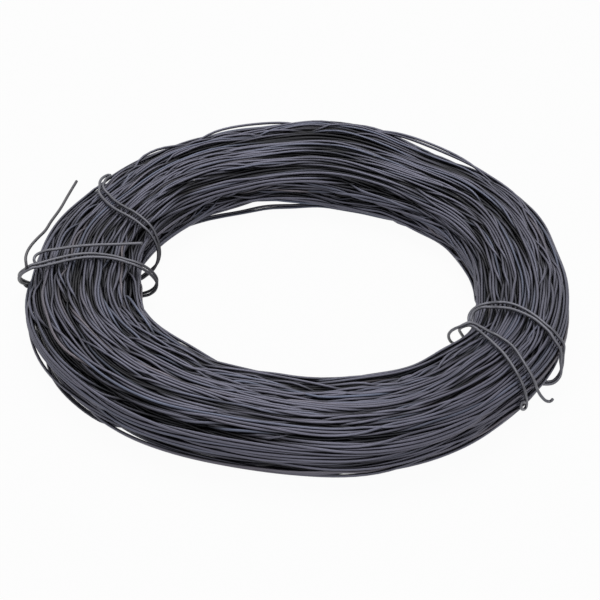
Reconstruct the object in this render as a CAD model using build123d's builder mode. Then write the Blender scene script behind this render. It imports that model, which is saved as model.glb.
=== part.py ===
from build123d import *
import os
from math import cos, hypot, radians, sin, sqrt, tan

# A coil of annealed binding wire lying flat, held together by two hand-twisted wire ties.
# Millimetres, +Z up. The coil's axis is Z, and its flat underside lies on the plane Z = 0.
# Azimuths are in degrees, counterclockwise from +X, seen from above.

# The coil
wire_diameter = 1.4
coil_bore_diameter = 160.0
ring_width = 50.0  # from the bore to the outer wall
coil_height = 26.0
shoulder_width = 12.0  # how far the round edge of the top end reaches across that end
shoulder_height = 8.0  # how far the round edges reach along a wall
foot_inset = 7.0  # how far the flat underside stands in from each wall
furrow_width = 2.4  # a furrow in a wall or in the underside, at its mouth
turns_in_top_band = 7
turns_in_foot_band = 9

# The ties, which are lengths of the same wire, folded in two and wrapped round the coil
tie_sides = 6
tie_clearance = 0.3  # between a tie and the coil
floor_clearance = 0.1  # between a tie and the plane that the coil lies on
pair_gap = 0.8  # between the two strands of a folded tie
fold_width = 3.4  # between the two strands' middles at the fold
largest_bend = 8.0  # radius of a tie's bends, where its runs are long enough
bend_share = 0.45  # share of a run that the bend at one end of it may take

# The tie with the long tail
long_tail_inner_slack = 4.0
long_tail_outer_slack = 2.0
long_tail_rise = 4.0
short_tail_overhang = 4.0
long_tail_fold_inset = 14.0  # from the coil's outer wall to the tie's fold

# The tie with the hooked ends
hooked_inner_slack = 2.0
hooked_outer_slack = 1.0
hooked_fold_inset = 8.5  # from the coil's bore to the tie's fold
hook_reach = 3.0  # how far a hooked end stands off the wall
hook_drop = 3.0  # how far a hook's lowest bend stands above the plane that the coil lies on
hook_return = 6.0  # how far the end of the hook turns up again

# Worked out from the sizes above
bore_radius = coil_bore_diameter / 2
outer_radius = bore_radius + ring_width
furrow_depth = wire_diameter
top_bands = round(ring_width / (turns_in_top_band * wire_diameter))
foot_width = ring_width - 2 * foot_inset
foot_bands = round(foot_width / (turns_in_foot_band * wire_diameter))

tie_reach = wire_diameter / 2 + tie_clearance
strand_pitch = wire_diameter + pair_gap
over = coil_height + tie_reach
under_low = wire_diameter / 2 + floor_clearance
under_high = under_low + wire_diameter + tie_clearance
slot_width = strand_pitch + wire_diameter + 2 * tie_clearance

# A tie takes the coil's edges on straight runs at 45 degrees, tie_reach clear of the round
# edges above and of the sloping edges below, where its slot has taken the lowest part away.
edge_depth = shoulder_width + shoulder_height - hypot(shoulder_width, shoulder_height)
top_inset = edge_depth + (1 - sqrt(2)) * tie_reach


def slope_inset(height):
    """How far the sloping lower edge stands in from its wall at a height above the underside."""
    return foot_inset * (1 - height / shoulder_height)


def low_line(under):
    """Inset plus height, the same all along a tie's 45 degree run below, for an under level."""
    ceiling = under + tie_reach
    return min(shoulder_height, slope_inset(ceiling) + ceiling) - sqrt(2) * tie_reach


def crown(radius):
    """The height of the top end's rounded outline at a radius."""
    inset = min(radius - bore_radius, outer_radius - radius)
    if inset >= shoulder_width:
        return coil_height
    return coil_height - shoulder_height * (1 - sqrt(1 - (1 - inset / shoulder_width) ** 2))


def ring_point(azimuth, radius, height, side=0.0):
    """A point by azimuth, radius and height, moved sideways along the ring."""
    angle = radians(azimuth)
    return Vector(
        radius * cos(angle) - side * sin(angle),
        radius * sin(angle) + side * cos(angle),
        height,
    )


def wrap(azimuths, under, inner_slack, outer_slack, inward):
    """The eight corners of one wrap round the coil, from the top end round to the top end.

    The azimuths belong to the top end's edge, the wall's top and foot, the two ends of the run
    below, the other wall's foot and top, and the top end's other edge.
    """
    line = low_line(under)
    inner = [
        (bore_radius + top_inset, over),
        (bore_radius - tie_reach - inner_slack, coil_height - top_inset),
        (bore_radius - tie_reach - inner_slack, line + tie_reach),
        (bore_radius + line - under, under),
    ]
    outer = [
        (outer_radius - line + under, under),
        (outer_radius + tie_reach + outer_slack, line + tie_reach),
        (outer_radius + tie_reach + outer_slack, coil_height - top_inset),
        (outer_radius - top_inset, over),
    ]
    corners = inner + outer if inward else outer[::-1] + inner[::-1]
    return [(azimuth, *corner) for azimuth, corner in zip(azimuths, corners)]


def fold_and_strands(stations, first_end, second_end):
    """The path points of a folded tie, from its first end by the fold to its second end.

    The fold lies across the first run, and the strands then lie side by side along the ring.
    """
    fold = ring_point(*stations[0])
    run = (ring_point(*stations[1]) - fold).normalized()
    along_ring = ring_point(*stations[0], 1.0) - fold
    across = (along_ring - run * along_ring.dot(run)).normalized() * (fold_width / 2)
    first_stations = stations[1:] + first_end
    second_stations = stations[1:] + second_end
    first = [fold + across] + [ring_point(*place, strand_pitch / 2) for place in first_stations]
    second = [fold - across] + [ring_point(*place, -strand_pitch / 2) for place in second_stations]
    return first[::-1] + second


def bend_radii(points):
    """A radius for each corner of a path, as large as its two runs allow."""
    radii = []
    for before, corner, after in zip(points, points[1:], points[2:]):
        run_in = corner - before
        run_out = after - corner
        turn = radians(run_in.get_angle(run_out))
        shorter = min(run_in.length, run_out.length)
        radii.append(min(largest_bend, bend_share * shorter / tan(turn / 2)))
    return radii


def furrow_points(radius, height, depth):
    """A furrow's two edges and its bottom, on an end outlined by the function height."""
    half = furrow_width / 2
    return [
        (radius - half, height(radius - half)),
        (radius, height(radius) + depth),
        (radius + half, height(radius + half)),
    ]


# The coil's section: furrows between groups of turns run round both ends and the outer wall.
shoulder_inset = shoulder_width * (1 - sqrt(0.5))
top_band_width = ring_width / top_bands
section = [
    (bore_radius, shoulder_height),
    (bore_radius, coil_height - shoulder_height),
    (bore_radius + shoulder_inset, crown(bore_radius + shoulder_inset)),
]
for band in range(1, top_bands):
    section += furrow_points(bore_radius + band * top_band_width, crown, -furrow_depth)
section += [
    (outer_radius - shoulder_inset, crown(outer_radius - shoulder_inset)),
    (outer_radius, coil_height - shoulder_height),
    (outer_radius, (coil_height + furrow_width) / 2),
    (outer_radius - furrow_depth, coil_height / 2),
    (outer_radius, (coil_height - furrow_width) / 2),
    (outer_radius, shoulder_height),
    (outer_radius - foot_inset, 0),
]
foot_band_width = foot_width / foot_bands
for band in range(1, foot_bands):
    furrow = outer_radius - foot_inset - band * foot_band_width
    section += furrow_points(furrow, lambda radius: 0, furrow_depth)[::-1]
section.append((bore_radius + foot_inset, 0))

# The tie with the long tail: two wraps, the first from the fold on the top end, and both ends
# brought up the outer wall. The second wrap crosses over the first one below the coil.
long_tail_first_wrap = wrap(
    [160.0, 163.0, 168.0, 171.0, 182.0, 186.0, 189.0, 188.5],
    under_low,
    long_tail_inner_slack,
    long_tail_outer_slack,
    inward=True,
)
long_tail_second_wrap = wrap(
    [184.5, 181.0, 178.0, 177.0, 177.0, 179.0, 182.0],
    under_high,
    long_tail_inner_slack,
    long_tail_outer_slack,
    inward=True,
)
long_tail_stations = [
    (150.0, outer_radius - long_tail_fold_inset, over),
    *long_tail_first_wrap,
    *long_tail_second_wrap,
]
short_tail = [
    (183.0, outer_radius - top_inset, over),
    (181.0, (outer_radius + bore_radius) / 2, over),
    (174.0, bore_radius - short_tail_overhang, over),
]
long_tail = [
    (178.5, outer_radius - top_inset / 2, over + long_tail_rise / 4),
    (170.0, outer_radius - top_inset, over + long_tail_rise / 2),
    (153.0, outer_radius - top_inset / 2, over + long_tail_rise),
]
long_tail_points = fold_and_strands(long_tail_stations, short_tail, long_tail)

# The tie with the hooked ends: one wrap from the fold on the top end, out and down the outer
# wall, back below the coil, up the bore and out again over the top end.
hooked_wrap = wrap(
    [-22.0, -24.0, -26.5, -28.5, -36.0, -37.5, -37.5, -34.5],
    under_low,
    hooked_inner_slack,
    hooked_outer_slack,
    inward=False,
)
hooked_wall = outer_radius + tie_reach + hooked_outer_slack
hooked_stations = [
    (-26.0, bore_radius + hooked_fold_inset, over),
    (-19.0, (outer_radius + bore_radius) / 2, over),
    *hooked_wrap,
    (-36.5, outer_radius - top_inset, over),
    (-38.0, hooked_wall, coil_height - top_inset),
]
open_hook = [
    (-36.0, hooked_wall, low_line(under_low) + tie_reach),
    (-32.5, hooked_wall + hook_reach, hook_drop),
    (-30.5, hooked_wall + hook_reach, hook_drop + hook_return / 2),
]
curled_hook = [
    (-39.0, hooked_wall, low_line(under_low) + tie_reach + hook_drop),
    (-40.0, hooked_wall + hook_reach / 2, hook_drop),
    (-42.5, hooked_wall + hook_reach, hook_drop + hook_return),
]
hooked_points = fold_and_strands(hooked_stations, open_hook, curled_hook)

# The slots that the ties have pressed into the coil's underside, one for each wrap
slots = [
    (long_tail_first_wrap[3], long_tail_first_wrap[4]),
    (long_tail_second_wrap[3], long_tail_second_wrap[4]),
    (hooked_wrap[3], hooked_wrap[4]),
]

with BuildPart() as wire_coil:
    with BuildSketch(Plane.XZ):
        with BuildLine():
            Polyline(*section, close=True)
        make_face()
    revolve(axis=Axis.Z)
    for start, end in slots:
        near = ring_point(*start)
        far = ring_point(*end)
        middle = (near + far) / 2
        across = Plane((middle.X, middle.Y, 0), x_dir=far - near, z_dir=(0, 0, 1))
        with BuildSketch(across):
            Rectangle(2 * ring_width, slot_width)
        extrude(amount=near.Z + tie_reach, mode=Mode.SUBTRACT)
wire_coil.part.label = "wire_coil"

with BuildPart() as long_tail_tie:
    with BuildLine() as long_tail_path:
        FilletPolyline(*long_tail_points, radius=bend_radii(long_tail_points))
    with BuildSketch(Plane(long_tail_path.line @ 0, z_dir=long_tail_path.line % 0)):
        RegularPolygon(wire_diameter / 2, tie_sides)
    sweep(path=long_tail_path.line)
long_tail_tie.part.label = "long_tail_tie"

with BuildPart() as hooked_tie:
    with BuildLine() as hooked_path:
        FilletPolyline(*hooked_points, radius=bend_radii(hooked_points))
    with BuildSketch(Plane(hooked_path.line @ 0, z_dir=hooked_path.line % 0)):
        RegularPolygon(wire_diameter / 2, tie_sides)
    sweep(path=hooked_path.line)
hooked_tie.part.label = "hooked_tie"

os.makedirs("parts", exist_ok=True)
export_step(wire_coil.part, "parts/wire_coil.step")
export_step(long_tail_tie.part, "parts/long_tail_tie.step")
export_step(hooked_tie.part, "parts/hooked_tie.step")

for tie, path, points in (
    (long_tail_tie, long_tail_path, long_tail_points),
    (hooked_tie, hooked_path, hooked_points),
):
    length = sum(edge.length for edge in path.edges())
    section_area = tie_sides / 2 * (wire_diameter / 2) ** 2 * sin(radians(360 / tie_sides))
    print(tie.part.label, "length", round(length, 1), "mm, volume", round(tie.part.volume, 2))
    print("  section times length", round(section_area * length, 2), "valid", tie.part.is_valid)
    print("  bend radii", [round(radius, 1) for radius in bend_radii(points)])
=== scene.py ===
"""A coil of annealed binding wire with its two wire ties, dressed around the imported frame."""
import logging
import math
from dataclasses import dataclass
from enum import Enum
from typing import NamedTuple

import bpy
import numpy as np
from mathutils import Matrix, Vector


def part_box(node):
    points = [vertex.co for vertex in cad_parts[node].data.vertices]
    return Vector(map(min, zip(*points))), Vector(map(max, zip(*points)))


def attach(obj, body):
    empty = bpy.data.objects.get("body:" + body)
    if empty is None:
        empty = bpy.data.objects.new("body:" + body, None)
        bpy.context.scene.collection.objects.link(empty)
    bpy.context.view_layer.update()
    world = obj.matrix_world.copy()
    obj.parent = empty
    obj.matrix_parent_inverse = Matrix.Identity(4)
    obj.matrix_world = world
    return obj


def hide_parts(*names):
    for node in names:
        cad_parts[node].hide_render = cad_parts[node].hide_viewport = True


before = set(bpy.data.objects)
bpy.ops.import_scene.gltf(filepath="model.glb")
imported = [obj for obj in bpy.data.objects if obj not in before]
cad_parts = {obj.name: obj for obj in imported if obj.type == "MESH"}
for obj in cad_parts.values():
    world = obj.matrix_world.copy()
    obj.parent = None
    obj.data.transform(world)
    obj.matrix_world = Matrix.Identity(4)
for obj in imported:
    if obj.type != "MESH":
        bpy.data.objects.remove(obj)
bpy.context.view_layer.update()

MM = 0.001
TURN = 2 * math.pi
WIRE_MAP = "along_wire"
# The mesh attribute that carries painted shade: 0 is the darkest, 1 is none.
PAINTED_LIGHTNESS = "painted_lightness"
ON_COIL = None
TINY = 1e-12
WHITE = (1.0, 1.0, 1.0, 1.0)
Colour = tuple[float, float, float]
Socket = bpy.types.NodeSocket
log = logging.getLogger("coil")


class Side(Enum):
    """The sides of the coil's section, by their direction in it, in degrees."""

    OUTER = 0.0
    OUTER_TOP = 50.0
    INNER_TOP = 130.0
    INNER_FOOT = 228.0
    OUTER_FOOT = 312.0


class Seen(NamedTuple):
    """A place on a tie as the photograph shows it.

    Its pixel across and down in the 600-pixel frame, its height in millimetres, and the gap between the
    strands' middles where the place is on the middle line of the pair.
    """

    across: float
    down: float
    height: float | None
    gap: float = 0.0


class Hidden(NamedTuple):
    """A place on a pair under the coil, by azimuth in degrees, radius, height and gap in millimetres."""

    azimuth: float
    radius: float
    height: float
    gap: float


def listed(kind: type, *rows: tuple[float | None, ...]) -> tuple:
    """Places of a kind, from rows of their values."""
    return tuple(kind(*row) for row in rows)


def away_from(azimuth: np.ndarray, middle: float, width: float) -> np.ndarray:
    """How far azimuths in radians are from a middle one, as shares of a width, both in degrees."""
    return np.angle(np.exp(1j * (azimuth - math.radians(middle)))) / math.radians(width)


def nearness(azimuth: np.ndarray, middle: float, spread: float) -> np.ndarray:
    """How near azimuths are to a middle one: 1 there, and about a third at the spread."""
    return np.exp(-(away_from(azimuth, middle, spread) ** 2))


@dataclass(frozen=True)
class Swell:
    """How far the bundle stands out on each side near an azimuth, in mm; less than 0 is pressed in."""

    azimuth: float
    spread: float
    outer: float = 0.0
    inner: float = 0.0
    top: float = 0.0
    foot: float = 0.0


@dataclass(frozen=True)
class Grip:
    """Where a tie holds the turns, in degrees."""

    azimuth: float
    spread: float


@dataclass(frozen=True)
class RingSection:
    """The section that the turns fill, as a rounded rectangle that changes round the ring."""

    bore: float
    outer: float
    height: float
    wire: float
    hole_shift: tuple[float, float]
    swells: tuple[Swell, ...]
    grips: tuple[Grip, ...]
    fullness: float = 3.4
    proud_outside: float = 1.0
    proud_inside: float = 1.3
    edge_points: int = 1441

    def limits(self, azimuth: np.ndarray) -> tuple[np.ndarray, np.ndarray]:
        """The rounded rectangle that the wires' middles stay in.

        Args:
            azimuth: (n,) azimuths in radians.

        Returns:
            (n, 2) radii and heights of its middle, and (n, 2) half widths and half heights.
        """
        half = self.wire / 2
        shift_x, shift_y = self.hole_shift
        inner = self.bore - self.proud_inside + half + shift_x * np.cos(azimuth) + shift_y * np.sin(azimuth)
        outer = np.full_like(azimuth, self.outer + self.proud_outside - half)
        top = np.full_like(azimuth, self.height - half)
        foot = np.full_like(azimuth, half)
        for swell in self.swells:
            share = nearness(azimuth, swell.azimuth, swell.spread)
            inner = inner - share * swell.inner
            outer = outer + share * swell.outer
            top = top + share * swell.top
            foot = foot - share * swell.foot
        middle = np.stack([(inner + outer) / 2, (top + foot) / 2], -1)
        return middle, np.stack([(outer - inner) / 2, (top - foot) / 2], -1)

    def reach(self, places: np.ndarray) -> np.ndarray:
        """How far out places are, given as shares of the half sizes: 1 at the section's edge."""
        return (np.abs(places) ** self.fullness).sum(-1) ** (1 / self.fullness)

    def edge_reach(self, way: np.ndarray) -> np.ndarray:
        """How far the section's edge is in a direction, as a share of the half sizes."""
        return (np.abs(way) ** self.fullness).sum(-1) ** (-1 / self.fullness)

    def held(self, azimuth: np.ndarray, reach: float) -> np.ndarray:
        """How firmly the ties hold the turns, from 0 to 1, felt over so many times each grip's spread."""
        return sum(nearness(azimuth, grip.azimuth, grip.spread * reach) for grip in self.grips).clip(0, 1)

    def edge(self, azimuth: float) -> np.ndarray:
        """The section's edge, where the outermost wires' middles run.

        Args:
            azimuth: the azimuth in radians.

        Returns:
            (n, 2) places round the edge, from the section's middle, in millimetres.
        """
        _, half = self.limits(np.array([azimuth]))
        around = np.linspace(0, TURN, self.edge_points)
        way = np.stack([np.cos(around), np.sin(around)], -1)
        return half * self.edge_reach(way)[:, None] * way

    def outward(self, points: np.ndarray) -> np.ndarray:
        """The way straight out of the turns.

        Args:
            points: (n, 3) azimuths in radians, radii and heights.

        Returns:
            (n, 3) unit vectors.
        """
        azimuth = points[:, 0]
        middle, half = self.limits(azimuth)
        place = (points[:, 1:] - middle) / half
        across, up = (np.sign(place) * np.abs(place) ** (self.fullness - 1) / half).T
        return unit(np.stack([across * np.cos(azimuth), across * np.sin(azimuth), up], -1))

    def share_out(self, points: np.ndarray, gap: float) -> np.ndarray:
        """How far out points are: 1 on an edge that lies a gap outside the outermost wires' middles."""
        middle, half = self.limits(points[:, 0])
        return self.reach((points[:, 1:] - middle) / (half + gap))

    def first_met(self, sight: np.ndarray, gap: float) -> np.ndarray:
        """Where a line of sight first meets the coil, or comes nearest to it.

        Args:
            sight: (n, 3) azimuths in radians, radii and heights, from the eye on.
            gap: how far outside the outermost wires' middles the place is.

        Returns:
            The place's azimuth, radius and height.
        """
        share = self.share_out(sight, gap)
        inside = np.nonzero(share <= 1)[0]
        return sight[inside[0]] if len(inside) else sight[share.argmin()]

    def clear(self, points: np.ndarray, gap: float) -> np.ndarray:
        """Points moved out until they are clear of the turns.

        Args:
            points: (n, 3) azimuths in radians, radii and heights.
            gap: how far outside the wires' middles they have to be.

        Returns:
            The points, those too close moved straight out of the section.
        """
        middle, _ = self.limits(points[:, 0])
        grow = np.maximum(1 / np.maximum(self.share_out(points, gap), TINY), 1)
        moved = points.copy()
        moved[:, 1:] = middle + (points[:, 1:] - middle) * grow[:, None]
        return moved


@dataclass(frozen=True)
class Viewpoint:
    """Where the photograph was taken from, as a pinhole camera fitted to the coil's outlines."""

    elevation: float = 36.4
    distance: float = 0.8
    focal_pixels: float = 1662.0
    image_pixels: float = 600.0
    roll: float = 2.6
    shift_pixels: tuple[float, float] = (3.4, 0.7)

    def axes(self) -> np.ndarray:
        """The camera's directions.

        Returns:
            Its right, up and back as unit rows.
        """
        tilt, roll = math.radians(self.elevation), math.radians(self.roll)
        back = np.array([0.0, -math.cos(tilt), math.sin(tilt)])
        right = np.array([1.0, 0.0, 0.0])
        up = np.cross(back, right)
        turned_right = right * math.cos(roll) + up * math.sin(roll)
        turned_up = up * math.cos(roll) - right * math.sin(roll)
        return np.array([turned_right, turned_up, back])

    def sight(self, across: float, down: float, heights: np.ndarray) -> np.ndarray:
        """Places at given heights on the line of sight through a pixel.

        Args:
            across: the pixel's place from the picture's left edge.
            down: its place from the top edge.
            heights: (n,) heights in millimetres.

        Returns:
            (n, 3) azimuths in radians, radii and heights.
        """
        right, up, back = self.axes()
        half = self.image_pixels / 2
        x = (across - half + self.shift_pixels[0]) / self.focal_pixels
        y = (half - down + self.shift_pixels[1]) / self.focal_pixels
        ray = right * x + up * y - back
        eye = back * self.distance / MM
        places = eye + (heights[:, None] - eye[2]) / ray[2] * ray
        return world_to_ring(places)


@dataclass(frozen=True)
class Layer:
    """One layer of turns: its depth under the section's edge and its turns' spacing, in mm."""

    depth: float
    pitch: float


@dataclass(frozen=True)
class LooseTurn:
    """A stretch of a turn that stands out of the bundle: where, how far and on which side."""

    azimuth: float
    half_width: float
    side: Side
    out: float


@dataclass(frozen=True)
class WireFinish:
    """Annealed steel wire: dark scale with a satin sheen, tinted a little along its length, with painted
    shade on buried turns and on the flanks between wires.

    Each noise has its scale along and round the wire and its detail. Each span has the range that is read
    and what its ends become.
    """

    name: str
    cool: Colour
    plain: Colour
    warm: Colour
    grain: float
    bare: Colour = (0.34, 0.33, 0.32)
    metallic: float = 0.65
    roughness: tuple[float, float] = (0.30, 0.46)
    # Painted shade: buried_shade is the darkest share of the colour on buried turns or low on a tie, and
    # flank_shade the darkest share on a wire's flanks, over crest's range.
    buried_shade: float = 0.08
    flank_shade: float = 1.0
    tints: tuple[float, float, float] = (1.9, 0.0, 2.0)
    tint_stops: tuple[float, ...] = (0.30, 0.47, 0.60, 0.72)
    patches: tuple[float, float, float] = (46.0, 1.2, 3.0)
    patch_shades: tuple[float, ...] = (0.25, 0.75, 0.72, 1.28)
    patch_gloss: tuple[float, float] = (0.3, 0.7)
    crest: tuple[float, float] = (0.18, 0.42)
    specks: tuple[float, float, float] = (210.0, 3.0, 2.0)
    speck_shares: tuple[float, ...] = (0.74, 0.80, 0.0, 0.7)
    streaks: tuple[float, float, float] = (90.0, 9.0, 4.0)
    streak_depth: float = 0.1

    def material(self) -> bpy.types.Material:
        """Builds the finish as shader nodes that follow the length of the wire.

        Returns:
            The material.
        """
        material = bpy.data.materials.new(self.name)
        material.use_nodes = True
        tree = NodeTree(material.node_tree)
        shader = tree.only("BSDF_PRINCIPLED")
        shader.inputs["Metallic"].default_value = self.metallic
        wire = tree.add("ShaderNodeUVMap", "UV", uv_map=WIRE_MAP)

        tints = (self.cool, self.plain, self.plain, self.warm)
        ramp = tree.ramp(tree.noise(wire, self.tints), *zip(self.tint_stops, tints))
        patches = tree.noise(wire, self.patches)
        shade = tree.span(patches, *self.patch_shades)
        # Painted shade: through the mesh attribute, turns buried under the bundle and ties low on the coil
        # are darkened, down to buried_shade.
        painted_lightness = tree.add("ShaderNodeAttribute", "Fac", attribute_name=PAINTED_LIGHTNESS)
        depth = tree.span(painted_lightness, 0.0, 1.0, self.buried_shade, 1.0)
        # Painted shade: each wire's flanks, towards its neighbours, are darker than its outward crest.
        crest = tree.span(tree.from_half(wire), *self.crest, self.flank_shade, 1.0)
        toned = tree.multiply(tree.multiply(tree.multiply(ramp, shade), depth), crest)
        bright = tree.span(tree.noise(wire, self.specks), *self.speck_shares)
        tree.link(tree.blend(bright, toned, self.bare), shader.inputs["Base Color"])
        tree.link(tree.span(patches, *self.patch_gloss, *self.roughness), shader.inputs["Roughness"])

        streaks = tree.noise(wire, self.streaks)
        values = {"Strength": self.grain, "Distance": self.streak_depth * MM, "Height": streaks}
        tree.link(tree.add("ShaderNodeBump", "Normal", values), shader.inputs["Normal"])
        return material


class NodeTree:
    """Short words for the shader nodes that the finishes use."""

    def __init__(self, tree: bpy.types.NodeTree) -> None:
        """Keeps the node tree to add to."""
        self.tree = tree

    def add(self, kind: str, output: str | int, inputs: dict | None = None, **settings: str) -> Socket:
        """Adds a node.

        Args:
            kind: the node's kind.
            output: the output that is wanted.
            inputs: its inputs' values, either fixed or linked from other nodes.
            settings: its settings by name.

        Returns:
            The wanted output.
        """
        node = self.tree.nodes.new(kind)
        for name, value in settings.items():
            setattr(node, name, value)
        for key, value in (inputs or {}).items():
            if isinstance(value, Socket):
                self.link(value, node.inputs[key])
            else:
                node.inputs[key].default_value = value
        return node.outputs[output]

    def only(self, kind: str) -> bpy.types.Node:
        """Finds the tree's one node of a type."""
        return next(node for node in self.tree.nodes if node.type == kind)

    def link(self, start: Socket, end: Socket) -> None:
        """Links an output to an input."""
        self.tree.links.new(start, end)

    def noise(self, place: Socket, pattern: tuple[float, float, float]) -> Socket:
        """Noise over a place on the wire.

        Args:
            place: the length along the wire and the place round it.
            pattern: the scale along the wire, the scale round it, and the noise's detail.

        Returns:
            The noise's value.
        """
        along, around, detail = pattern
        scale = (along, around, 0.0)
        stretched = self.add("ShaderNodeVectorMath", "Vector", {0: place, 1: scale}, operation="MULTIPLY")
        return self.add("ShaderNodeTexNoise", "Fac", {"Vector": stretched, "Scale": 1.0, "Detail": detail})

    def ramp(self, value: Socket, *stops: tuple[float, Colour]) -> Socket:
        """A colour ramp.

        Args:
            value: what it reads.
            stops: each stop's place and colour, in order.

        Returns:
            The colour.
        """
        colour_out = self.add("ShaderNodeValToRGB", "Color", {"Fac": value})
        elements = colour_out.node.color_ramp.elements
        while len(elements) < len(stops):
            elements.new(0.5)
        for element, (place, colour) in zip(elements, stops):
            element.position = place
            element.color = (*colour, 1.0)
        return colour_out

    def span(self, value: Socket, low: float, high: float, to_low: float, to_high: float) -> Socket:
        """Maps values from low to high onto the range from to_low to to_high, clamped."""
        values = {"Value": value, "From Min": low, "From Max": high, "To Min": to_low, "To Max": to_high}
        return self.add("ShaderNodeMapRange", "Result", values)

    def from_half(self, place: Socket) -> Socket:
        """How far a place's second coordinate is from a half.

        Args:
            place: the coordinates.

        Returns:
            The distance: 0.5 on the wire's outward side and 0 on the side that faces the coil.
        """
        around = self.add("ShaderNodeSeparateXYZ", "Y", {"Vector": place})
        away = self.add("ShaderNodeMath", "Value", {0: around, 1: 0.5}, operation="SUBTRACT")
        return self.add("ShaderNodeMath", "Value", {0: away}, operation="ABSOLUTE")

    def background_rays(self) -> Socket:
        """Tells the rays that show the background, straight, in a gloss or through glass.

        Returns:
            1 for those rays and 0 for the rays that only carry light.
        """
        total = self.add("ShaderNodeLightPath", "Is Camera Ray")
        rays = total.node.outputs
        for kind in ("Is Glossy Ray", "Is Transmission Ray"):
            total = self.add("ShaderNodeMath", "Value", {0: total, 1: rays[kind]})
        return total

    def multiply(self, colour: Socket, factor: Socket) -> Socket:
        """Multiplies a colour by a number."""
        return self.add("ShaderNodeVectorMath", "Vector", {0: colour, "Scale": factor}, operation="SCALE")

    def blend(self, share: Socket, first: Socket, second: Colour) -> Socket:
        """Mixes a fixed second colour into a linked first one, by the second one's share."""
        return self.add("ShaderNodeMix", 2, {0: share, 6: first, 7: (*second, 1.0)}, data_type="RGBA")


@dataclass(frozen=True)
class WireTube:
    """A round wire along a line, as a mesh tube with closed ends."""

    radius: float
    sides: int

    def skin(self, line: np.ndarray, across: np.ndarray) -> np.ndarray:
        """The tube's vertices.

        Args:
            line: (n, 3) points along the wire's middle.
            across: (n, 3) directions that aren't along the wire.

        Returns:
            (n, sides, 3) places round each point.
        """
        tangent = unit(np.gradient(line, axis=0))
        first = unit(across - tangent * (across * tangent).sum(1, keepdims=True))
        second = np.cross(tangent, first)
        angle = (np.arange(self.sides) * (TURN / self.sides))[:, None]
        around = np.cos(angle) * first[:, None] + np.sin(angle) * second[:, None]
        return line[:, None] + self.radius * around

    def mesh(
        self, name: str, line: np.ndarray, across: np.ndarray, painted_lightness: np.ndarray, start: float = 0.0
    ) -> bpy.types.Mesh:
        """Builds the tube.

        Args:
            name: the mesh's name.
            line: (n, 3) points along the wire's middle, in metres.
            across: (n, 3) directions that aren't along the wire.
            painted_lightness: (n,) how light the colour is painted at each point, from 0 in the deepest
                painted shade to 1 with none.
            start: the length of wire before the first point, in metres.

        Returns:
            The mesh, with the length along the wire and the place round it as its UV map.
        """
        count, sides = len(line), self.sides
        length = start + run_length(line)
        column = np.arange(sides)
        corner_row, corner_column = np.array([0, 0, 1, 1]), np.array([0, 1, 1, 0])
        rows = np.arange(count - 1)[:, None, None] + corner_row
        columns = column[:, None] + corner_column
        quads = rows * sides + columns % sides
        quad_map = np.stack(np.broadcast_arrays(length[rows], columns / sides), -1)
        caps = np.stack([column[::-1], (count - 1) * sides + column])
        cap_map = np.stack([np.repeat(length[[0, -1]], sides), caps.ravel() % sides / sides], -1)

        mesh = bpy.data.meshes.new(name)
        corners = np.concatenate([quads.ravel(), caps.ravel()]).astype(np.int32)
        quad_count = (count - 1) * sides
        starts = np.concatenate([np.arange(quad_count) * 4, quad_count * 4 + np.arange(2) * sides])
        mesh.vertices.add(count * sides)
        mesh.vertices.foreach_set("co", self.skin(line, across).astype(np.float32).ravel())
        mesh.loops.add(len(corners))
        mesh.loops.foreach_set("vertex_index", corners)
        mesh.polygons.add(len(starts))
        mesh.polygons.foreach_set("loop_start", starts.astype(np.int32))
        mesh.polygons.foreach_set("use_smooth", np.arange(len(starts)) < quad_count)
        mesh.update(calc_edges=True)
        places = mesh.uv_layers.new(name=WIRE_MAP)
        flat = np.concatenate([quad_map.reshape(-1, 2), cap_map])
        places.uv.foreach_set("vector", flat.astype(np.float32).ravel())
        painted_shade_attribute = mesh.attributes.new(PAINTED_LIGHTNESS, "FLOAT", "POINT")
        painted_shade_attribute.data.foreach_set("value", np.repeat(painted_lightness, sides).astype(np.float32))
        return mesh


def unit(vectors: np.ndarray) -> np.ndarray:
    """Vectors scaled to a length of one."""
    return vectors / np.maximum(np.linalg.norm(vectors, axis=-1, keepdims=True), TINY)


def world_to_ring(points: np.ndarray) -> np.ndarray:
    """Turns (n, 3) places into azimuths in radians, radii and heights, in the same unit."""
    x, y, height = points.T
    return np.stack([np.arctan2(y, x), np.hypot(x, y), height], -1)


def ring_to_world(points: np.ndarray) -> np.ndarray:
    """Turns (n, 3) azimuths in radians, radii and heights in millimetres into places in metres."""
    azimuth, radius, height = points.T
    return np.stack([radius * np.cos(azimuth), radius * np.sin(azimuth), height], -1) * MM


def run_length(line: np.ndarray) -> np.ndarray:
    """The length along a line from its start to each of its points."""
    return np.concatenate([[0.0], np.cumsum(np.linalg.norm(np.diff(line, axis=0), axis=1))])


def along(line: np.ndarray, lengths: np.ndarray) -> np.ndarray:
    """The places at given lengths along a line."""
    run = run_length(line)
    return np.stack([np.interp(lengths, run, axis) for axis in line.T], -1)


def mixed(t: np.ndarray, from_t: float, to_t: float, start: np.ndarray, end: np.ndarray) -> np.ndarray:
    """Goes evenly from a start at from_t to an end at to_t."""
    return (to_t - t) / (to_t - from_t) * start + (t - from_t) / (to_t - from_t) * end


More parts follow.
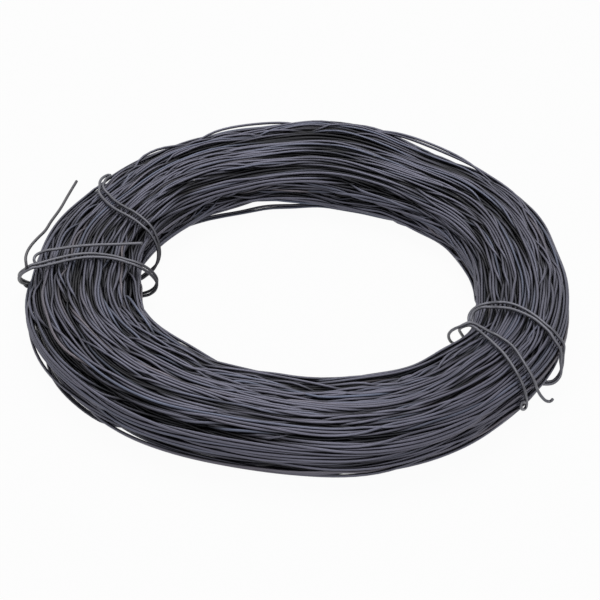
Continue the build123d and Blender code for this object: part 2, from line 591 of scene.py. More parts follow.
def smooth_curve(points: np.ndarray, step: float, samples: int = 24) -> np.ndarray:
    """A smooth curve through points, evenly stepped.

    Args:
        points: (n, 3) points.
        step: the distance between the curve's own points.
        samples: how finely the curve is worked out between two points.

    Returns:
        (m, 3) points of a centripetal Catmull-Rom curve.
    """
    ends = np.concatenate([[2 * points[0] - points[1]], points, [2 * points[-1] - points[-2]]])
    pieces = []
    for p0, p1, p2, p3 in zip(ends, ends[1:], ends[2:], ends[3:]):
        t1 = np.linalg.norm(p1 - p0) ** 0.5
        t2 = t1 + np.linalg.norm(p2 - p1) ** 0.5
        t3 = t2 + np.linalg.norm(p3 - p2) ** 0.5
        t = np.linspace(t1, t2, samples, endpoint=False)[:, None]
        a1, a2, a3 = mixed(t, 0, t1, p0, p1), mixed(t, t1, t2, p1, p2), mixed(t, t2, t3, p2, p3)
        pieces.append(mixed(t, t1, t2, mixed(t, 0, t2, a1, a2), mixed(t, t1, t3, a2, a3)))
    curve = np.concatenate(pieces + [points[-1:]])
    length = run_length(curve)[-1]
    return along(curve, np.linspace(0, length, max(int(length / step), 2) + 1))


def steady_across(line: np.ndarray) -> np.ndarray:
    """Directions across a line that don't twist about it.

    Args:
        line: (n, 3) points.

    Returns:
        (n, 3) unit vectors, each carried over from the one before.
    """
    tangent = unit(np.gradient(line, axis=0))
    across = np.empty_like(line)
    now = np.cross(tangent[0], (0.0, 0.0, 1.0))
    for index, direction in enumerate(tangent):
        now = now - direction * now.dot(direction)
        now = now / np.linalg.norm(now)
        across[index] = now
    return across


@dataclass(frozen=True)
class Wander:
    """How whole bundles of turns stray: waves that run round the ring and across its section."""

    size: float = 0.5
    waves: int = 40
    round_counts: tuple[int, int] = (1, 9)
    lengths: tuple[float, float] = (8.0, 34.0)
    usual_length: float = 26.0
    length_power: float = 0.7
    round_calm: float = 0.15
    sideways: float = 1.6
    upward: float = 0.9

    def offsets(self, places: np.ndarray, azimuth: np.ndarray, rng: np.random.Generator) -> np.ndarray:
        """How far places in the bundle stray.

        Args:
            places: (turns, stations, 2) places in the section, in millimetres from its middle.
            azimuth: (stations,) azimuths in radians.
            rng: the source of chance.

        Returns:
            (turns, stations, 2) offsets in millimetres.
        """
        offset = np.zeros_like(places)
        for _ in range(self.waves):
            round_count = rng.integers(*self.round_counts)
            length = rng.uniform(*self.lengths)
            heading, phase = rng.uniform(0, TURN), rng.uniform(0, TURN)
            across = places @ (np.cos(heading), np.sin(heading)) * TURN / length
            calm = 1 + self.round_calm * round_count
            size = self.size * (length / self.usual_length) ** self.length_power / calm
            lean = rng.uniform(0, TURN)
            swing = size * np.sin(round_count * azimuth + across + phase)
            offset += swing[..., None] * (self.sideways * math.cos(lean), self.upward * math.sin(lean))
        return offset


@dataclass(frozen=True)
class Stray:
    """How single turns stray: over what length of wire, how far, and whether mostly near the ties."""

    length: float
    size: float
    kinks: bool = False


@dataclass(frozen=True)
class Settling:
    """Rounds of settling: their number, and how hard turns are pushed apart, pulled back and smoothed."""

    rounds: int
    push: float
    pull: float
    smoothing: tuple[float, ...]


@dataclass
class CoiledWire:
    """The coil: one wire wound in many turns, each modelled as a round wire. Its sizes are in mm."""

    section: RingSection
    finish: WireFinish
    layers: tuple[Layer, ...]
    loose_turns: tuple[LooseTurn, ...]
    node: str = "wire_coil"
    slot: str = "annealed_wire"
    stations: int = 176
    sides: int = 6
    piece_count: int = 5
    start_azimuth: float = 1.0
    bundle_wander: Wander = Wander()
    strays: tuple[Stray, ...] = (Stray(230.0, 1.7), Stray(80.0, 0.374), Stray(40.0, 0.3, kinks=True))
    stray_shape: tuple[float, float] = (1.3, 0.8)
    grip_calm: float = 0.45
    kink_reach: float = 2.2
    least_kinks: float = 0.05
    mean_radius: float = 0.82
    valley_depth: float = 1.3
    valley_waves: int = 36
    lengthwise_counts: tuple[int, int] = (-5, 6)
    crosswise_counts: tuple[int, int] = (9, 40)
    deepest_valley: float = 2.2
    contact: float = 1.0
    grip_contact: float = 0.88
    grip_reach: float = 1.6
    least_apart: float = 1e-4
    # Painted shade: turns this far under the section's edge start to get darker, and are fully dark a further
    # dark_depth down.
    painted_shade_depth: float = 0.35
    dark_depth: float = 1.3
    pushing: Settling = Settling(rounds=90, push=0.36, pull=0.03, smoothing=(0.5, 0.5, -0.40, -0.42))
    easing: Settling = Settling(rounds=40, push=0.40, pull=0.0, smoothing=(0.5, 0.5, -0.44, -0.46))
    look_again: int = 8
    look_reach: float = 1.7
    most_hops: int = 60
    seed: int = 11

    def places(self) -> np.ndarray:
        """Where each turn starts in the section.

        Returns:
            (turns + 1, 2) places, as shares of the section's half width and half height.
        """
        edge = self.section.edge(self.start_azimuth)
        half = edge.max(0)
        found = []
        for layer in self.layers:
            line = edge * (1 - layer.depth / half)
            count = int(run_length(line)[-1] / layer.pitch)
            found.append(along(line, np.arange(count) * layer.pitch))
        places = np.concatenate(found) / half
        return np.concatenate([places, places[-1:]])

    def wander(self, places: np.ndarray, azimuth: np.ndarray) -> np.ndarray:
        """How far the turns stray from their places.

        Args:
            places: (turns, stations, 2) places in the section, in millimetres from its middle.
            azimuth: (stations,) azimuths in radians.

        Returns:
            (turns, stations, 2) offsets in millimetres.
        """
        rng = np.random.default_rng(self.seed)
        calm = 1 - self.grip_calm * self.section.held(azimuth, 1.0)
        kinked = self.least_kinks + self.section.held(azimuth, self.kink_reach)
        offset = self.bundle_wander.offsets(places, azimuth, rng) * calm[:, None]
        turns, stations, _ = places.shape
        spacing = TURN * self.section.outer * self.mean_radius / stations
        for stray in self.strays:
            white = rng.standard_normal((2, turns * stations))
            pitch = np.fft.rfftfreq(turns * stations, spacing)
            keep = np.exp(-((pitch * stray.length) ** 2) * 2)
            curve = np.fft.irfft(np.fft.rfft(white) * keep, turns * stations)
            curve *= stray.size / curve.std()
            share = kinked if stray.kinks else calm
            curve = np.moveaxis(curve.reshape(2, turns, stations), 0, -1)
            offset += curve * self.stray_shape * share[:, None]
        return offset

    def valleys(self, points: np.ndarray, azimuth: np.ndarray) -> np.ndarray:
        """How deep the bundle's surface is sunk where the turns leave valleys between them.

        Args:
            points: (turns, stations, 2) places in the section, as shares of its half sizes.
            azimuth: (stations,) azimuths in radians.

        Returns:
            (turns, stations) depths in millimetres.
        """
        edge = self.section.edge(self.start_azimuth)
        half = edge.max(0)
        length = run_length(edge)
        direction = np.unwrap(np.arctan2(edge[:, 1] / half[1], edge[:, 0] / half[0]))
        here = np.arctan2(points[..., 1], points[..., 0]) % TURN
        around = np.interp(here, direction, length / length[-1] * TURN)
        rng = np.random.default_rng(self.seed + 1)
        sink = np.zeros_like(around)
        for _ in range(self.valley_waves):
            lengthwise = rng.integers(*self.lengthwise_counts) * azimuth
            crosswise = rng.integers(*self.crosswise_counts) * around
            sink += np.sin(lengthwise + crosswise + rng.uniform(0, TURN))
        sink /= math.sqrt(self.valley_waves / 2)
        return self.valley_depth * np.clip(sink, 0, self.deepest_valley)

    def near_pairs(self, points: np.ndarray, reach: float) -> tuple[np.ndarray, np.ndarray]:
        """Pairs of turns that are close together at a station.

        Args:
            points: (turns, stations, 2) places in millimetres.
            reach: how close they are.

        Returns:
            The flat indices of the pairs' first and second points.
        """
        turns, stations, _ = points.shape
        firsts, seconds = [], []
        for station in range(stations):
            x, z = points[:, station, 0], points[:, station, 1]
            order = np.argsort(x, kind="stable")
            x, z = x[order], z[order]
            for hop in range(1, self.most_hops):
                near_x = x[hop:] - x[:-hop] < reach
                if not near_x.any():
                    break
                picked = np.nonzero(near_x & (np.abs(z[hop:] - z[:-hop]) < reach))[0]
                firsts.append(order[picked] * stations + station)
                seconds.append(order[picked + hop] * stations + station)
        return np.concatenate(firsts), np.concatenate(seconds)

    def settle(self, target: np.ndarray, azimuth: np.ndarray) -> np.ndarray:
        """Moves turns that overlap apart, keeps them smooth and holds them in the section.

        Args:
            target: (turns, stations, 2) places that the turns would like, in millimetres.
            azimuth: (stations,) azimuths in radians.

        Returns:
            (turns, stations, 2) settled places.
        """
        middle, half = self.section.limits(azimuth)
        points = target.copy()
        turns, stations, _ = points.shape
        touch = self.section.wire * self.contact
        held = self.section.held(azimuth, self.grip_reach)
        room_for_wire = np.tile(touch * (1 - (1 - self.grip_contact) * held), turns)
        plan = [self.pushing] * self.pushing.rounds + [self.easing] * self.easing.rounds
        for count, step in enumerate(plan):
            if count % self.look_again == 0:
                first, second = self.near_pairs(points, touch * self.look_reach)
                sink = self.valleys((points - middle) / half, azimuth)
            flat = points.reshape(-1, 2)
            apart = flat[second] - flat[first]
            distance = np.maximum(np.hypot(apart[:, 0], apart[:, 1]), self.least_apart)
            push = np.clip(room_for_wire[first] - distance, 0, None) / distance * step.push
            for axis in (0, 1):
                move = push * apart[:, axis]
                flat[:, axis] += np.bincount(second, move, len(flat)) - np.bincount(first, move, len(flat))
            flat += step.pull * (target.reshape(-1, 2) - flat)
            for share in step.smoothing:
                flat[1:-1] += share * ((flat[2:] + flat[:-2]) / 2 - flat[1:-1])
            place = (flat.reshape(turns, stations, 2) - middle) / half
            room = 1 - sink / half.min(-1)
            points = middle + place * (room / np.maximum(self.section.reach(place), room))[..., None] * half
        return points

    def loosen(self, points: np.ndarray, azimuth: np.ndarray) -> None:
        """Stands stretches of single turns out of the bundle.

        Args:
            points: (turns, stations, 2) places, changed in place.
            azimuth: (stations,) azimuths in radians.
        """
        middle, half = self.section.limits(azimuth)
        for loose in self.loose_turns:
            angle = math.radians(loose.side.value)
            way = np.array([math.cos(angle), math.sin(angle)])
            edge = middle + half * self.section.edge_reach(way) * way
            away = away_from(azimuth, loose.azimuth, loose.half_width)
            bulge = np.clip(1 - away**2, 0, 1) ** 2
            share = np.clip(1 - away**4, 0, 1) ** 2
            here = int(np.abs(away).argmin())
            turn = int(np.linalg.norm(points[:, here] - edge[here], axis=-1).argmin())
            path = edge + loose.out * bulge[:, None] * way
            points[turn] += share[:, None] * (path - points[turn])
            points[turn, :, 1] = np.maximum(points[turn, :, 1], self.section.wire / 2)

    def build(self) -> list[bpy.types.Object]:
        """Winds the wire and makes it in a few long pieces.

        Returns:
            The pieces, dressed and riding on the part's body.
        """
        azimuth = np.arange(self.stations) * (TURN / self.stations)
        middle, half = self.section.limits(azimuth)
        starts = self.places()
        share = (np.arange(self.stations) / self.stations)[None, :, None]
        places = (starts[:-1, None] * (1 - share) + starts[1:, None] * share) * half
        points = self.settle(places + self.wander(places, azimuth) + middle, azimuth)
        self.loosen(points, azimuth)
        # Painted shade: turns buried deeper under the section's edge get a darker colour, standing in for the
        # shade in the gaps between turns.
        buried = (1 - self.section.reach((points - middle) / half)) * half[:, 1]
        painted_lightness = np.clip(1 - (buried - self.painted_shade_depth) / self.dark_depth, 0, 1).ravel()

        turns = len(points)
        wound = np.column_stack([np.tile(azimuth, turns), points.reshape(-1, 2)])
        line = ring_to_world(wound)
        outward = self.section.outward(wound)
        length = run_length(line)
        log.info("wound %d turns, %.1f m of wire", turns, length[-1])

        tube = WireTube(self.section.wire / 2 * MM, self.sides)
        material = self.finish.material()
        marks = np.linspace(0, len(line) - 1, self.piece_count + 1).astype(int)
        pieces = []
        for number, (begin, end) in enumerate(zip(marks, marks[1:]), 1):
            name = f"wire_turns_{number}"
            cut = slice(begin, end + 1)
            mesh = tube.mesh(name, line[cut], outward[cut], painted_lightness[cut], length[begin])
            pieces.append(place_piece(mesh, material, self.node))
        return pieces


@dataclass
class FoldedTie:
    """A tie: a wire folded in two and wrapped round the coil, with two free ends."""

    name: str
    node: str
    section: RingSection
    finish: WireFinish
    run: tuple[Seen | Hidden, ...]
    fold: tuple[Seen, ...]
    plus_end: tuple[Seen, ...]
    minus_end: tuple[Seen, ...]
    view: Viewpoint = Viewpoint()
    slot: str = "tie_wire"
    sides: int = 12
    step: float = 1.0
    press: float = 0.05
    # Painted shade on the tie: darkest below dark_height (bore_shade in the bore, outer_shade outside) and
    # none above pale_height; tail_shade darkens the free tail.
    dark_height: float = 13.0
    pale_height: float = 23.0
    bore_shade: float = 0.25
    outer_shade: float = 0.3
    tail_shade: float = 1.0
    search_from: float = 40.0
    search_steps: int = 4000

    def places(self, points: tuple[Seen | Hidden, ...]) -> np.ndarray:
        """Works out where listed points are, the seen ones along the camera's lines of sight.

        Args:
            points: places seen in the photograph or hidden from it.

        Returns:
            (n, 3) azimuths in radians, radii and heights.
        """
        search = np.linspace(self.search_from, 0, self.search_steps)
        rows = []
        for point in points:
            if isinstance(point, Hidden):
                rows.append((math.radians(point.azimuth), point.radius, point.height))
            elif point.height is ON_COIL:
                line = self.view.sight(point.across, point.down, search)
                rows.append(self.section.first_met(line, self.section.wire))
            else:
                rows.append(self.view.sight(point.across, point.down, np.array([point.height]))[0])
        return np.array(rows)

    def strand(self, way: float) -> np.ndarray:
        """One strand of the pair, from the fold to where the strands part.

        Args:
            way: 1 for the strand on one side of the pair's middle line, -1 for the other.

        Returns:
            (n, 3) points in millimetres.
        """
        ring = self.places(self.run)
        middle = ring_to_world(ring) / MM
        side = unit(np.cross(unit(np.gradient(middle, axis=0)), self.section.outward(ring)))
        gap = np.array([p.gap for p in self.run])[:, None]
        return middle + way * gap / 2 * side

    def painted_lightness(self, ring: np.ndarray, line: np.ndarray, tail: np.ndarray) -> np.ndarray:
        """How light the colour is painted along the wire: no painted shade on top of the coil, painted shade
        low down in the bore and on the outer wall, and a darker free tail.

        Args:
            ring: (n, 3) azimuths, radii and heights of the wire's middle.
            line: (n, 3) the same places in metres.
            tail: the points of the wire's last free end, in millimetres.

        Returns:
            (n,) numbers from 0 to 1.
        """
        middle, _ = self.section.limits(ring[:, 0])
        low = np.where(ring[:, 1] < middle[:, 0], self.bore_shade, self.outer_shade)
        up = np.clip((ring[:, 2] - self.dark_height) / (self.pale_height - self.dark_height), 0, 1)
        length = run_length(line) / MM
        log.info("%s: %.0f mm of wire", self.name, length[-1])
        tail_start = length[-1] - run_length(tail)[-1]
        return (low + (1 - low) * up) * np.where(length > tail_start, self.tail_shade, 1.0)

    def build(self) -> bpy.types.Object:
        """Bends the wire and dresses it.

        Returns:
            The tie's piece.
        """
        stretches = (self.plus_end, self.fold, self.minus_end)
        plus, fold, minus = (ring_to_world(self.places(stretch)) / MM for stretch in stretches)
        route = np.concatenate([plus[::-1], self.strand(1)[::-1], fold, self.strand(-1), minus])
        line = smooth_curve(route, self.step)
        ring = self.section.clear(world_to_ring(line), self.section.wire - self.press)
        line = ring_to_world(ring)
        line[:, 2] = np.maximum(line[:, 2], self.section.wire / 2 * MM)
        tube = WireTube(self.section.wire / 2 * MM, self.sides)
        mesh = tube.mesh(self.name, line, steady_across(line), self.painted_lightness(ring, line, minus))
        return place_piece(mesh, self.finish.material(), self.node)


def add_object(name: str, data: bpy.types.ID) -> bpy.types.Object:
    """Adds an object to the scene.

    Args:
        name: the object's name.
        data: its mesh, lamp or camera.

    Returns:
        The object.
    """
    added = bpy.data.objects.new(name, data)
    bpy.context.scene.collection.objects.link(added)
    return added


def place_piece(mesh: bpy.types.Mesh, material: bpy.types.Material, node: str) -> bpy.types.Object:
    """Puts a mesh in the scene as a piece that stands for a node of the frame.

    Args:
        mesh: the piece's mesh, already in its place.
        material: its finish.
        node: the node that it stands for.

    Returns:
        The piece.
    """
    mesh.materials.append(material)
    piece = add_object(mesh.name, mesh)
    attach(piece, "root")
    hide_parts(node)
    log.info("piece %s: %d faces", piece.name, len(mesh.polygons))
    return piece


@dataclass(frozen=True)
class Lamp:
    """A soft square lamp that faces the coil: its place and side in metres and its power in watts."""

    name: str
    place: tuple[float, float, float]
    size: float
    power: float

    def hang(self) -> None:
        """Adds the lamp to the scene."""
        data = bpy.data.lights.new(self.name, "AREA")
        data.size = self.size
        data.energy = self.power
        lamp = add_object(self.name, data)
        lamp.location = self.place
        lamp.rotation_euler = (-Vector(self.place)).to_track_quat("-Z", "Y").to_euler()


@dataclass
class Studio:
    """The pale floor, the soft lamps and the camera."""

    view: Viewpoint = Viewpoint()
    sensor: float = 36.0
    floor_size: float = 14.0
    floor_white: float = 0.86
    white_share: float = 0.96
    sky: float = 0.05
    nearest_seen: float = 0.02
    floor_roughness: float = 0.8
    lamps: tuple[Lamp, ...] = (
        Lamp("key_lamp", (-0.15, 0.45, 1.25), 1.1, 9.0),
        Lamp("fill_lamp", (0.25, -1.1, 0.75), 0.9, 4.0),
    )

    def camera(self) -> None:
        """Adds the camera at the photograph's viewing angle."""
        view = self.view
        right, up, back = (Vector(axis) for axis in view.axes())
        data = bpy.data.cameras.new("camera")
        data.sensor_width = self.sensor
        data.lens = self.sensor * view.focal_pixels / view.image_pixels
        data.shift_x = view.shift_pixels[0] / view.image_pixels
        data.shift_y = view.shift_pixels[1] / view.image_pixels
        data.clip_start = self.nearest_seen
        camera = add_object("camera", data)
        axes = Matrix((right, up, back)).transposed().to_4x4()
        camera.matrix_world = Matrix.Translation(back * view.distance) @ axes
        bpy.context.scene.camera = camera

    def floor(self) -> None:
        """Lays the pale floor, which the camera sees almost white but for the shadow."""
        half = self.floor_size / 2
        mesh = bpy.data.meshes.new("floor")
        corners = [(-half, -half, 0), (half, -half, 0), (half, half, 0), (-half, half, 0)]
        mesh.from_pydata(corners, [], [(0, 1, 2, 3)])
        material = bpy.data.materials.new("pale_floor")
        material.use_nodes = True
        tree = NodeTree(material.node_tree)
        shader = tree.only("BSDF_PRINCIPLED")
        shader.inputs["Base Color"].default_value = (self.floor_white,) * 3 + (1.0,)
        shader.inputs["Roughness"].default_value = self.floor_roughness
        white = tree.add("ShaderNodeEmission", "Emission", {"Color": WHITE})
        share = tree.span(tree.background_rays(), 0.0, 1.0, 0.0, self.white_share)
        shaders = {0: share, 1: shader.outputs["BSDF"], 2: white}
        mix = tree.add("ShaderNodeMixShader", "Shader", shaders)
        tree.link(mix, tree.only("OUTPUT_MATERIAL").inputs["Surface"])
        mesh.materials.append(material)
        add_object("floor", mesh)

    def world(self) -> None:
        """Sets an even pale sky, which the camera and reflections see as white."""
        world = bpy.data.worlds.new("studio")
        world.use_nodes = True
        tree = NodeTree(world.node_tree)
        background = tree.only("BACKGROUND")
        background.inputs["Color"].default_value = WHITE
        strength = tree.span(tree.background_rays(), 0.0, 1.0, self.sky, 1.0)
        tree.link(strength, background.inputs["Strength"])
        bpy.context.scene.world = world

    def build(self) -> None:
        """Sets up the whole studio."""
        self.camera()
        self.floor()
        self.world()
        for lamp in self.lamps:
            lamp.hang()
        bpy.context.scene.view_settings.view_transform = "Standard"


ANNEALED = WireFinish(
    name="annealed_scale",
    cool=(0.104, 0.124, 0.182),
    plain=(0.123, 0.122, 0.161),
    warm=(0.170, 0.140, 0.138),
    grain=0.65,
    # Painted shade on each wire's flanks.
    flank_shade=0.26,
)

TIE_STEEL = WireFinish(
    name="tie_scale",
    cool=(0.130, 0.134, 0.165),
    plain=(0.134, 0.134, 0.154),
    warm=(0.152, 0.143, 0.138),
    grain=0.5,
)

LAYERS = (
    Layer(0.0, 1.75),
    Layer(1.3, 1.85),
    Layer(2.6, 2.1),
    Layer(4.0, 2.5),
    Layer(5.8, 2.8),
    Layer(7.8, 3.0),
    Layer(10.0, 3.0),
)

SWELLS = (
    Swell(10.0, 11.0, outer=-2.8, inner=-0.9),
    Swell(32.0, 14.0, outer=2.6, inner=-1.5),
    Swell(44.0, 7.0, outer=1.8, inner=1.5),
    Swell(57.0, 12.0, outer=-0.2, inner=0.8, top=-1.2),
    Swell(74.0, 9.0, inner=2.8, foot=0.4),
    Swell(81.0, 14.0, outer=8.6, inner=-0.9, top=1.9, foot=-0.6),
    Swell(103.0, 10.0, outer=-0.8, inner=-2.2, top=-0.5, foot=-1.5),
    Swell(124.0, 12.0, outer=-3.0, inner=-3.3, top=-0.7, foot=-0.8),
    Swell(152.0, 18.0, outer=-7.0, inner=-1.7, top=-3.5, foot=-0.5),
    Swell(178.0, 14.0, outer=-5.2, inner=-1.4, top=-2.2, foot=-2.6),
    Swell(190.0, 9.0, outer=-0.9, inner=1.5),
    Swell(212.0, 11.0, outer=0.8, inner=-1.4),
    Swell(236.0, 11.0, outer=1.2, inner=2.2),
    Swell(260.0, 12.0, outer=-1.1, inner=2.2, top=0.5),
    Swell(287.0, 11.0, outer=3.2, inner=1.0),
    Swell(304.0, 10.0, outer=1.4, inner=-2.0),
    Swell(316.0, 8.0, outer=-0.8, inner=0.4),
    Swell(331.0, 10.0, outer=-0.4, inner=-3.8, top=-1.0, foot=-1.4),
    Swell(352.0, 10.0, outer=-1.9, inner=0.2),
)

GRIPS = (
    Grip(168.0, 16.0),
    Grip(331.0, 9.0),
)

LOOSE_TURNS = (
    LooseTurn(108.0, 48.0, Side.INNER_FOOT, 4.1),
    LooseTurn(108.0, 46.0, Side.INNER_FOOT, 2.7),
    LooseTurn(105.0, 19.0, Side.OUTER_TOP, 2.4),
    LooseTurn(130.0, 9.0, Side.OUTER_TOP, 1.5),
    LooseTurn(58.0, 22.0, Side.OUTER_TOP, 3.1),
    LooseTurn(58.0, 22.0, Side.OUTER_TOP, 4.6),
    LooseTurn(25.0, 14.0, Side.OUTER, 1.2),
    LooseTurn(220.0, 22.0, Side.OUTER_FOOT, 3.8),
    LooseTurn(220.0, 21.0, Side.OUTER_FOOT, 2.5),
    LooseTurn(212.0, 12.0, Side.INNER_TOP, 1.4),
)

# Places along the ties. The seen ones are pixels of the photograph, each with a height above the floor
# or, where the wire lies on the coil, ON_COIL.
LONG_TAIL_RUN = (
    listed(
        Seen,
        (101.9, 191.2, 23.6, 3.2), (105.0, 195.2, ON_COIL, 3.8), (109.2, 199.9, ON_COIL, 4.0),
        (114.8, 204.6, ON_COIL, 4.3), (122.2, 209.3, ON_COIL, 4.6), (130.6, 213.7, ON_COIL, 4.6),
        (138.3, 218.8, ON_COIL, 4.2), (145.3, 224.6, 22.0, 4.0), (149.6, 229.4, 20.6, 3.8),
        (153.0, 234.2, 18.8, 3.4), (156.0, 240.0, 16.4, 3.0), (158.3, 247.0, 13.6, 2.7),
        (159.0, 254.5, 10.6, 2.6), (157.3, 262.6, 7.4, 2.5), (152.6, 269.4, 4.6, 2.4),
        (146.0, 274.4, 2.4, 2.2), (139.6, 278.4, 1.1, 2.0),
    )
    + listed(
        Hidden,
        (174.0, 90.0, 0.8, 1.9), (176.6, 104.0, 0.8, 1.8), (178.8, 118.0, 0.8, 1.8), (179.9, 125.0, 1.6, 1.8),
    )
    + listed(
        Seen,
        (28.6, 283.6, 4.0, 1.8), (24.8, 282.4, 6.6, 1.8), (20.9, 280.4, 10.6, 1.8), (19.0, 277.0, 15.6, 1.8),
        (20.8, 273.4, 20.0, 1.9), (26.0, 269.6, 23.4, 2.2), (31.9, 266.4, 24.6, 2.6),
        (37.9, 265.4, 24.6, 3.0), (49.5, 262.5, 24.8, 3.3), (62.9, 259.2, 25.0, 3.4),
        (76.0, 256.6, ON_COIL, 3.4), (88.0, 255.4, ON_COIL, 3.2), (100.4, 255.8, ON_COIL, 2.6),
        (113.8, 257.6, ON_COIL, 2.2), (126.0, 260.9, ON_COIL, 2.2), (137.4, 264.4, 22.6, 2.8),
        (146.6, 269.4, 19.4, 2.9), (153.2, 275.0, 15.6, 3.0), (157.0, 281.4, 11.6, 3.0),
        (155.4, 288.0, 8.2, 2.8), (150.6, 292.2, 5.4, 2.6), (145.0, 294.2, 3.4, 2.4),
        (140.0, 294.8, 2.2, 2.2),
    )
    + listed(
        Hidden,
        (181.0, 84.0, 2.2, 1.9), (180.0, 98.0, 2.2, 1.8), (179.9, 114.0, 2.2, 1.8), (180.6, 125.0, 2.6, 1.8),
        (181.6, 129.4, 4.6, 1.8),
    )
)

LONG_TAIL_FOLD = listed(
    Seen,
    (99.9, 186.6, 24.0), (99.7, 183.0, 24.0), (101.3, 179.2, 23.8), (105.0, 176.2, 23.4),
    (108.6, 174.9, 23.0), (110.6, 175.2, 22.8), (109.4, 176.9, 23.0), (106.6, 178.6, 23.4),
    (104.6, 181.8, 23.8), (103.0, 186.0, 24.0),
)

SHORT_TAIL = listed(
    Seen,
    (22.6, 281.6, 7.4), (20.6, 279.6, 9.4), (20.0, 276.6, 12.8), (22.4, 273.2, 16.6), (27.2, 269.8, 20.2),
    (32.4, 267.2, ON_COIL), (36.4, 265.6, ON_COIL), (35.6, 263.4, 24.4), (34.2, 261.2, 25.4),
    (34.2, 258.2, 26.0), (36.5, 254.8, 26.2), (41.6, 252.2, 26.0), (47.8, 250.4, 25.6),
    (55.9, 249.2, 25.6), (71.2, 246.9, 26.0), (90.0, 245.2, 26.4), (116.0, 244.4, 27.0),
    (142.6, 243.2, 27.5),
)

LONG_TAIL = listed(
    Seen,
    (24.6, 282.4, 5.0), (20.8, 280.2, 8.0), (19.2, 277.0, 12.2), (20.6, 273.8, 17.0), (23.8, 270.8, 21.6),
    (26.4, 267.8, 24.8), (26.2, 264.4, 26.6), (25.7, 260.6, 27.6), (25.8, 256.6, 28.2),
    (27.9, 250.5, 29.0), (32.4, 243.9, 29.6), (38.6, 237.2, 30.1), (45.2, 230.6, 30.5),
    (51.0, 221.6, 30.9), (60.5, 208.4, 31.4), (68.4, 194.8, 31.8), (76.6, 181.2, 32.0),
)

HOOKED_RUN = (
    listed(
        Seen,
        (481.6, 306.2, 26.2, 2.4), (489.4, 305.2, 26.6, 3.4), (500.0, 304.9, ON_COIL, 4.0),
        (512.4, 306.7, ON_COIL, 3.8), (524.8, 311.7, ON_COIL, 3.0), (535.6, 318.0, ON_COIL, 2.0),
        (544.4, 325.2, ON_COIL, 1.9), (551.8, 332.0, ON_COIL, 2.6), (557.2, 340.4, 22.4, 4.0),
        (560.6, 350.0, 16.4, 4.6), (561.8, 359.6, 10.4, 3.8), (561.4, 369.4, 5.6, 2.6),
        (558.6, 376.8, 2.6, 1.9), (552.6, 382.2, 0.9, 1.9), (544.0, 383.0, 0.75, 1.9),
    )
    + listed(
        Hidden,
        (332.6, 112.0, 0.8, 1.9), (332.2, 98.0, 0.8, 2.0), (333.0, 88.0, 1.8, 2.4),
    )
)

HOOKED_FOLD = listed(
    Seen,
    (474.4, 311.2, 26.4), (471.9, 315.2, 26.4), (470.9, 319.2, 26.0), (470.6, 322.4, 25.2),
    (469.4, 322.8, 25.2), (468.8, 319.8, 26.0), (469.0, 316.2, 26.4), (470.8, 312.2, 26.4),
    (474.4, 308.4, 26.2),
)

OPEN_HOOK = listed(
    Seen,
    (453.6, 344.0, 7.5), (450.7, 341.4, 11.0), (448.8, 337.8, 14.6), (448.9, 334.0, 18.2),
    (451.4, 330.8, 21.4), (455.4, 328.4, 24.2), (460.0, 326.6, 26.4), (464.6, 324.2, 27.8),
    (469.4, 322.4, 28.7), (474.0, 323.2, 28.4), (479.6, 326.3, 27.6), (486.0, 329.8, 27.0),
    (493.9, 333.8, ON_COIL), (502.9, 339.0, ON_COIL), (510.4, 344.2, ON_COIL), (516.3, 350.7, ON_COIL),
    (521.6, 358.8, ON_COIL), (527.0, 367.7, ON_COIL), (531.4, 375.4, ON_COIL), (534.8, 383.0, ON_COIL),
    (537.5, 390.0, 12.4), (541.3, 396.3, 8.6), (546.4, 401.0, 5.6), (550.4, 401.4, 5.4),
    (552.6, 399.2, 7.0),
)

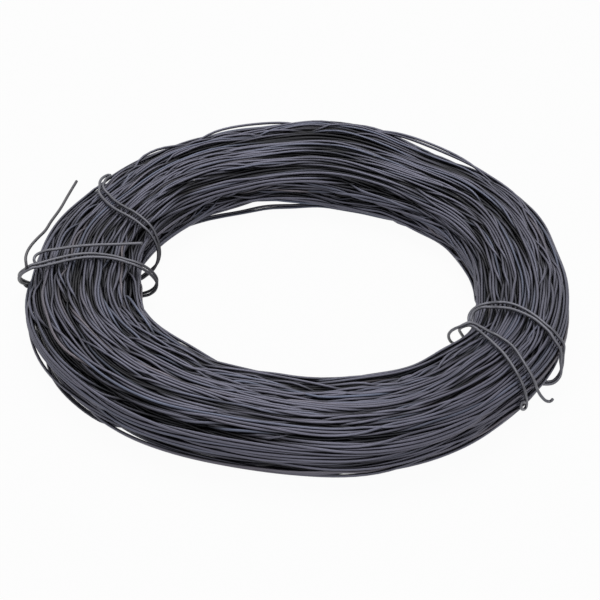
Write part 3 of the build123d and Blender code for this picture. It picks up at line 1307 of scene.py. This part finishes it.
CURLED_HOOK = listed(
    Seen,
    (465.4, 340.2, 6.5), (462.9, 336.2, 11.6), (460.4, 332.4, 16.6), (459.4, 329.6, 21.2),
    (461.2, 327.6, 24.4), (465.2, 325.9, 26.6), (469.6, 325.2, 27.5), (473.9, 326.9, 27.2),
    (479.6, 331.1, 26.8), (486.8, 337.3, ON_COIL), (495.7, 345.4, ON_COIL), (502.9, 352.5, ON_COIL),
    (509.6, 361.4, ON_COIL), (514.8, 369.5, ON_COIL), (519.2, 377.5, ON_COIL), (522.9, 385.5, ON_COIL),
    (525.0, 392.7, ON_COIL), (526.2, 399.4, ON_COIL), (526.6, 404.4, ON_COIL), (525.2, 408.3, ON_COIL),
    (522.8, 409.4, ON_COIL), (520.9, 407.2, ON_COIL), (520.9, 403.8, ON_COIL), (522.8, 401.7, ON_COIL),
    (524.8, 402.4, ON_COIL),
)


def section_from_frame() -> RingSection:
    """Reads the coil's bore, outer wall and height from the frame.

    Returns:
        The section that the turns fill.
    """
    low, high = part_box("wire_coil")
    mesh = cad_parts["wire_coil"].data
    points = np.empty(len(mesh.vertices) * 3)
    mesh.vertices.foreach_get("co", points)
    places = points.reshape(-1, 3)
    return RingSection(
        bore=float(np.hypot(places[:, 0], places[:, 1]).min()) / MM,
        outer=(high[0] - low[0]) / 2 / MM,
        height=(high[2] - low[2]) / MM,
        wire=1.4,
        hole_shift=(5.1, -4.5),
        swells=SWELLS,
        grips=GRIPS,
    )


def main() -> None:
    """Builds the studio, the coil and its ties, in that order."""
    logging.basicConfig(level=logging.INFO, format="%(name)s: %(message)s")
    Studio().build()
    section = section_from_frame()
    coil = CoiledWire(section=section, finish=ANNEALED, layers=LAYERS, loose_turns=LOOSE_TURNS)
    coil.build()
    FoldedTie(
        name="long_tail_wire",
        node="long_tail_tie",
        section=section,
        finish=TIE_STEEL,
        run=LONG_TAIL_RUN,
        fold=LONG_TAIL_FOLD,
        plus_end=SHORT_TAIL,
        minus_end=LONG_TAIL,
        tail_shade=0.62,
    ).build()
    FoldedTie(
        name="hooked_wire",
        node="hooked_tie",
        section=section,
        finish=TIE_STEEL,
        run=HOOKED_RUN,
        fold=HOOKED_FOLD,
        plus_end=OPEN_HOOK,
        minus_end=CURLED_HOOK,
        outer_shade=1.0,
    ).build()


if __name__ == "__main__":
    main()
